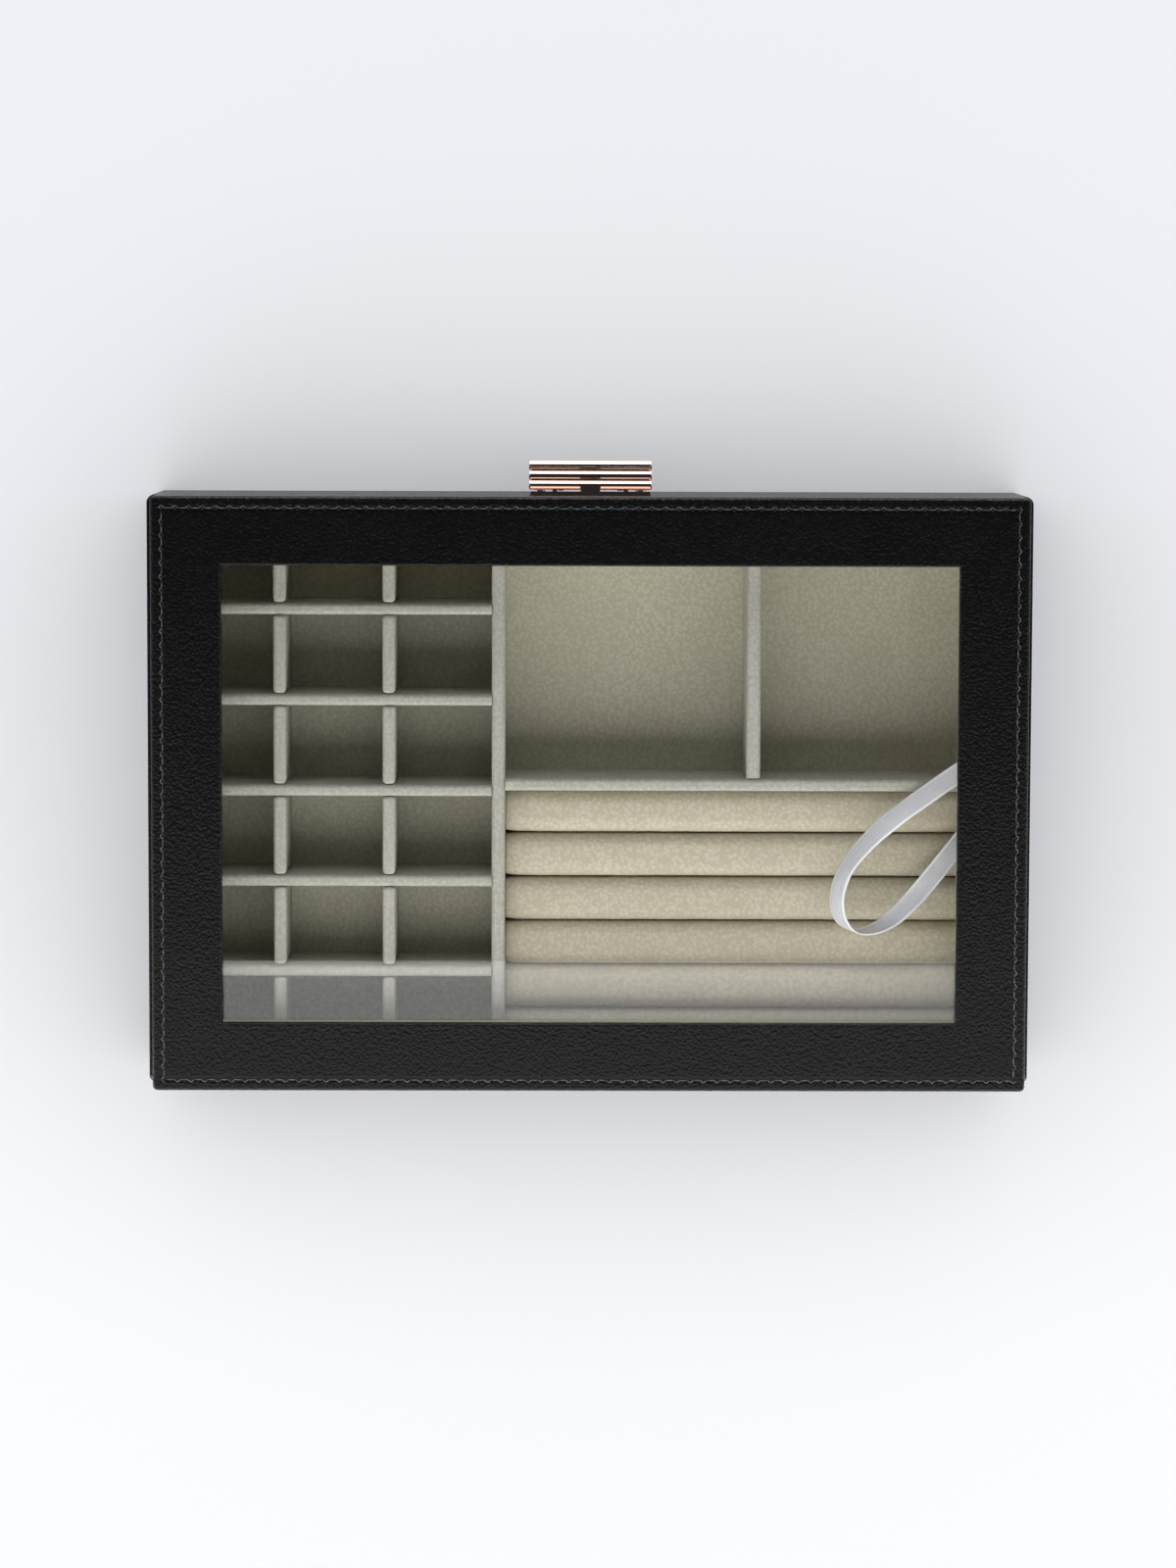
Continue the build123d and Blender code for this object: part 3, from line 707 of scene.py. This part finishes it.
class GiftBoxRolls(bpy.types.PropertyGroup):
    """Shape of the ring rolls."""

    roundness: bpy.props.FloatProperty(
        name="Roundness", description="How round the crown is, from flat to a half circle",
        default=0.7, min=0.1, max=0.98, subtype="FACTOR",
    )
    wrinkle: length_property("Wrinkle", "Depth of the wrinkles in the leather", 0.16)
    end_pull: length_property("End pull", "How far the ends of a roll are drawn in", 0.9)
    step: length_property("Step", "Distance between rows of points along a roll", 0.8)
    fill: bpy.props.FloatProperty(
        name="Fill", description="How tightly the foam fills its cover", default=0.85,
        min=0.0, max=1.0, subtype="FACTOR",
    )


class GiftBoxRibbon(bpy.types.PropertyGroup):
    """Sizes of the satin stay."""

    width: length_property("Width", "Width of the ribbon with its edge loops", 6.0)
    thickness: length_property("Thickness", "Thickness of the woven band", 0.3)
    picot: length_property("Edge loop", "How far the edge loops stand out", 0.3)
    picot_pitch: length_property("Loop pitch", "From one edge loop to the next", 0.7)
    dish: length_property("Dish", "How far the edges curl up", 0.35)
    step: length_property("Step", "Distance between rows of points along the ribbon", 0.35)


class GiftBoxStudio(bpy.types.PropertyGroup):
    """Strengths of the studio's lights."""

    floor_wash: bpy.props.FloatProperty(
        name="Floor wash", description="Irradiance of the soft lights on the floor", default=2.5, min=0.0
    )
    rear_card: bpy.props.FloatProperty(
        name="Rear card", description="Radiance of the bright card behind the hinges", default=2.8, min=0.0
    )
    front_box: bpy.props.FloatProperty(
        name="Front softbox", description="Radiance of the softbox before the clasp", default=1.1, min=0.0
    )
    edge_strip: bpy.props.FloatProperty(
        name="Edge strip", description="Radiance of the strip that glints on the front edges",
        default=12.0, min=0.0,
    )
    clasp_card: bpy.props.FloatProperty(
        name="Clasp card", description="Radiance of the card that the clasp reflects", default=2.6, min=0.0
    )


# ---- operators -----------------------------------------------------------------------------


class GIFTBOX_OT_camera(bpy.types.Operator):
    """Place the camera above the lid, a little towards the front"""

    bl_idname = "gift_box.camera"
    bl_label = "Camera"

    def execute(self, context):
        tilt, yaw, roll = (math.radians(a) for a in (-5.378, 0.518, 0.186))
        place = Vector((13.0, -133.0, 1426.3)) * MM
        front_up = Matrix(((-1, 0, 0), (0, -1, 0), (0, 0, 1)))
        about_x = Matrix(
            ((1, 0, 0), (0, math.cos(tilt), math.sin(tilt)), (0, -math.sin(tilt), math.cos(tilt)))
        )
        about_y = Matrix(
            ((math.cos(yaw), 0, math.sin(yaw)), (0, 1, 0), (-math.sin(yaw), 0, math.cos(yaw)))
        )
        about_z = Matrix(
            ((math.cos(roll), math.sin(roll), 0), (-math.sin(roll), math.cos(roll), 0), (0, 0, 1))
        )
        turn = (about_z @ about_x @ about_y @ front_up).transposed()
        lens = bpy.data.cameras.new("camera")
        lens.sensor_fit = "VERTICAL"
        lens.sensor_height = 36.0
        lens.lens = 107.0
        lens.clip_end = 20.0
        camera = bpy.data.objects.new("camera", lens)
        camera.matrix_world = Matrix.Translation(place) @ turn.to_4x4()
        context.scene.collection.objects.link(camera)
        context.scene.camera = camera
        return {"FINISHED"}


class GIFTBOX_OT_ribbon(bpy.types.Operator):
    """Lay the satin stay in its loop from the tray to the lid"""

    bl_idname = "gift_box.ribbon"
    bl_label = "Satin stay"

    def execute(self, context):
        settings = context.scene.gift_box_ribbon
        points = ribbon_line()
        shape, total = ribbon_shape(points, settings)
        ribbon = finish_piece("satin_ribbon", shape, satin_ribbon())
        thicken(ribbon, settings.thickness)
        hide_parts("ribbon_stay")
        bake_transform(ribbon)
        return {"FINISHED"}


class GIFTBOX_OT_stitching(bpy.types.Operator):
    """Sew the line of stitches around the lid"""

    bl_idname = "gift_box.stitching"
    bl_label = "Lid stitching"

    def execute(self, context):
        settings = context.scene.gift_box_stitching
        shape = bmesh.new()
        for middle, along in stitch_places(settings):
            add_stitch(shape, middle, along, settings)
            add_needle_hole(shape, middle, along, settings)
        stitching = finish_piece("lid_stitching", shape, sewing_thread(), needle_hole_shade())
        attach(stitching, "lid")
        return {"FINISHED"}


class GIFTBOX_OT_ring_rolls(bpy.types.Operator):
    """Make the six padded ring rolls"""

    bl_idname = "gift_box.ring_rolls"
    bl_label = "Ring rolls"

    def execute(self, context):
        settings = context.scene.gift_box_rolls
        cover = pebbled_leather(
            "roll_leather",
            [(0.1, "#cbc4b0"), (0.35, "#c5bea9"), (0.6, "#b9b19b")],
            grain_mm=1.2,
            depth_mm=0.09,
            roughness=(0.45, 0.7),
        )
        for i, name in enumerate(named("ring_roll_")):
            low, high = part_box(name)
            roll = finish_piece(
                f"padded_roll_{i + 1}", ring_roll_shape(low, high, settings, i + 1), cover
            )
            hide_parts(name)
            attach(roll, "tray")
        return {"FINISHED"}


class GIFTBOX_OT_case_finish(bpy.types.Operator):
    """Cover the case in black leather, with its base cloth and boards"""

    bl_idname = "gift_box.case_finish"
    bl_label = "Case finish"

    def execute(self, context):
        black = [(0.1, "#111112"), (0.35, "#0c0c0d"), (0.6, "#060607")]
        for name, groove in (("tray_leather_wrap", False), ("lid_leather_wrap", True)):
            leather = pebbled_leather(
                name.replace("wrap", "black"), black, 0.9, 0.17, (0.24, 0.36), 0.15, groove
            )
            paint(leather, name)
        cloth = woven_cover("black_base_cloth", [(0.0, "#0a0a0b"), (1.0, "#232324")], 0.6, 0.8)
        paint(cloth, "tray_base_cover")
        boards = [n for n in NODES if n.endswith(("_wall", "_rail"))]
        paint(fibre_board(), "tray_base_board", *boards)
        return {"FINISHED"}


class GIFTBOX_OT_lining_finish(bpy.types.Operator):
    """Line the tray, the dividers and the lid in cream leather"""

    bl_idname = "gift_box.lining_finish"
    bl_label = "Lining finish"

    def execute(self, context):
        cream = pebbled_leather(
            "cream_lining",
            [(0.1, "#d4d1bf"), (0.35, "#cdcab7"), (0.6, "#c0bca7")],
            grain_mm=1.2,
            depth_mm=0.10,
            roughness=(0.42, 0.68),
        )
        lined = [n for n in NODES if n.endswith("_lining")]
        paint(cream, "ribbon_tray_tab", "ribbon_lid_patch", *lined)
        # The dividers get a darker, greyer copy of the cream lining: painted shade, since they are wrapped
        # in the same leather.
        divider = pebbled_leather(
            "divider_painted_shade_leather",
            [(0.1, "#bab9ae"), (0.35, "#b4b3a8"), (0.6, "#a8a79b")],
            grain_mm=1.2,
            depth_mm=0.10,
            roughness=(0.42, 0.68),
        )
        paint(divider, *[n for n in NODES if "divider" in n])
        foam = woven_cover("foam_board", [(0.0, "#a79f8a"), (1.0, "#bdb6a2")], 0.5, 0.9)
        paint(foam, "ring_base")
        return {"FINISHED"}


class GIFTBOX_OT_window_finish(bpy.types.Operator):
    """Glaze the lid"""

    bl_idname = "gift_box.window_finish"
    bl_label = "Window"

    def execute(self, context):
        paint(window_glass(), "glass_pane")
        return {"FINISHED"}


class GIFTBOX_OT_metal_finish(bpy.types.Operator):
    """Plate the clasp, the striker and the hinges"""

    bl_idname = "gift_box.metal_finish"
    bl_label = "Metal finish"

    def execute(self, context):
        polished = plated_metal("polished_rose_gold", "#ecd3c6", (0.06, 0.11), 0.4, False)
        paint(polished, "clasp_plate", "clasp_lever", "clasp_rivets")
        satin = plated_metal("brushed_rose_gold", "#dfbfae", (0.24, 0.4), 0.25, True)
        hinges = [n for n in NODES if "hinge" in n]
        paint(satin, "striker", "striker_screws", "clasp_pin", *hinges)
        paint(spring_wire(), "clasp_spring")
        return {"FINISHED"}


class GIFTBOX_OT_stage(bpy.types.Operator):
    """Set the pale floor and the soft lights"""

    bl_idname = "gift_box.stage"
    bl_label = "Studio"

    def execute(self, context):
        settings = context.scene.gift_box_studio
        shape = bmesh.new()
        bmesh.ops.create_grid(shape, x_segments=8, y_segments=8, size=4.0)
        material, tree, shader = begin_material("pale_floor", Roughness=0.7)
        place = object_place(tree)
        mottle = texture(tree, "ShaderNodeTexNoise", place, 400.0).outputs["Fac"]
        # Painted light: the floor's colour goes from a grey white at Y = -0.1 m to a brighter white from Y
        # = 0.22 m on; the mottle is a random tone.
        depth = add_node(tree, "ShaderNodeSeparateXYZ", links={"Vector": place}).outputs["Y"]
        painted_light_rise = add_node(
            tree,
            "ShaderNodeMapRange",
            {"interpolation_type": "SMOOTHSTEP"},
            {"From Min": -0.1, "From Max": 0.22, "To Min": 0.0, "To Max": 1.0},
            {"Value": depth},
        ).outputs["Result"]
        shade = math_node(tree, "ADD", painted_light_rise, math_node(tree, "MULTIPLY", mottle, 0.1))
        stops = [(0.0, "#eff0f3"), (1.0, "#fdfdfd")]
        tree.links.new(colour_ramp(tree, shade, stops), shader.inputs["Base Color"])
        floor = finish_piece("floor", shape, material)
        context.scene.world = studio_air()
        for name, share, shadow in (("floor_wash", 0.45, True), ("floor_fill", 0.55, False)):
            wash = bpy.data.lights.new(name, "SUN")
            wash.energy = settings.floor_wash * share
            wash.angle = math.radians(130)
            wash.use_shadow = shadow
            add_light(context, wash, (0.0, 0.0, 3.0), (0.0, 0.0, 0.0), [floor], "INCLUDE")
        leather = [NODES[n] for n in named("tray_leather_wrap", "lid_leather_wrap")]
        clasp = [NODES["clasp_lever"]]
        # name, place, target, size, what is linked, and how
        boxes = (
            ("rear_card", (0.0, 0.094, 0.19), (0.0, -1.0, 0.19), (1.6, 0.38), [floor], "EXCLUDE"),
            ("front_box", (0.0, -1.3, 0.8), (0.0, -0.1, 0.05), (1.8, 1.1), [floor], "EXCLUDE"),
            ("edge_strip", (0.0, -0.9, 0.14), (0.0, 0.0, 0.05), (2.2, 0.24), leather, "INCLUDE"),
            ("clasp_card", (0.0, -0.8, 0.5), (0.0, -0.1, 0.04), (2.0, 1.1), clasp, "INCLUDE"),
        )
        for name, place, target, size, linked, link_state in boxes:
            radiance = getattr(settings, name)
            lamp = bpy.data.lights.new(name, "AREA")
            lamp.shape = "RECTANGLE"
            lamp.size, lamp.size_y = size
            lamp.energy = radiance * math.pi * size[0] * size[1]
            add_light(context, lamp, place, target, linked, link_state)
        context.scene.view_settings.view_transform = "Standard"
        return {"FINISHED"}


class GIFTBOX_PT_panel(bpy.types.Panel):
    """Lists the steps that finish the box"""

    bl_idname = "GIFTBOX_PT_panel"
    bl_label = "Jewelry Gift Box"
    bl_space_type = "VIEW_3D"
    bl_region_type = "UI"
    bl_category = "Gift Box"

    def draw(self, context):
        for step in STEPS:
            self.layout.operator(step.bl_idname)


STEPS = (
    GIFTBOX_OT_camera,
    GIFTBOX_OT_ribbon,
    GIFTBOX_OT_stitching,
    GIFTBOX_OT_ring_rolls,
    GIFTBOX_OT_case_finish,
    GIFTBOX_OT_lining_finish,
    GIFTBOX_OT_window_finish,
    GIFTBOX_OT_metal_finish,
    GIFTBOX_OT_stage,
)
SETTINGS = {
    "gift_box_stitching": GiftBoxStitching,
    "gift_box_rolls": GiftBoxRolls,
    "gift_box_ribbon": GiftBoxRibbon,
    "gift_box_studio": GiftBoxStudio,
}


def register():
    for kind in (*SETTINGS.values(), *STEPS, GIFTBOX_PT_panel):
        bpy.utils.register_class(kind)
    for name, kind in SETTINGS.items():
        setattr(bpy.types.Scene, name, bpy.props.PointerProperty(type=kind))


def unregister():
    for name in SETTINGS:
        delattr(bpy.types.Scene, name)
    for kind in (GIFTBOX_PT_panel, *reversed(STEPS), *reversed(list(SETTINGS.values()))):
        bpy.utils.unregister_class(kind)


def main():
    register()
    for step in STEPS:
        group, action = step.bl_idname.split(".")
        getattr(getattr(bpy.ops, group), action)()


if __name__ == "__main__":
    main()
